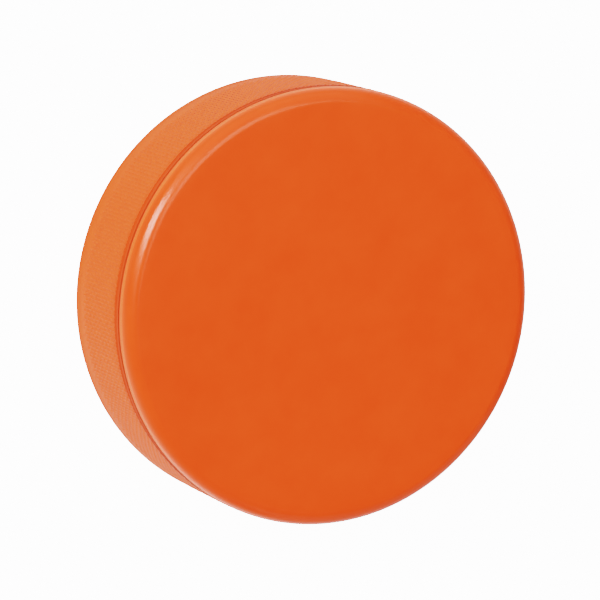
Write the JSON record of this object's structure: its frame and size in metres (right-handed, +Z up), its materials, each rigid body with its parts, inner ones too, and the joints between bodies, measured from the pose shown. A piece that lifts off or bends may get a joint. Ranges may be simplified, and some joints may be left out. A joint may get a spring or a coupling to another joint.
{
  "type": "hockey puck",
  "caption": "Weighted ice hockey training puck: orange rubber casing with rounded edges and a diamond-knurled side band, steel disc sealed inside.",
  "frame": {"origin": "centre of the lower face, the face the puck lies on", "axes": "+Z up along the puck's axis, from the lower face to the upper face; +X and +Y are any two square directions across the puck, with a disc hole on +X"},
  "size_m": [0.0762, 0.0762, 0.0254],
  "materials": {
    "orange_rubber": "satin",
    "disc_steel": "matte"
  },
  "bodies": {
    "root": {"casing_body": "orange_rubber", "casing_cap": "orange_rubber", "weight_disc": "disc_steel"}
  },
  "joints": []
}
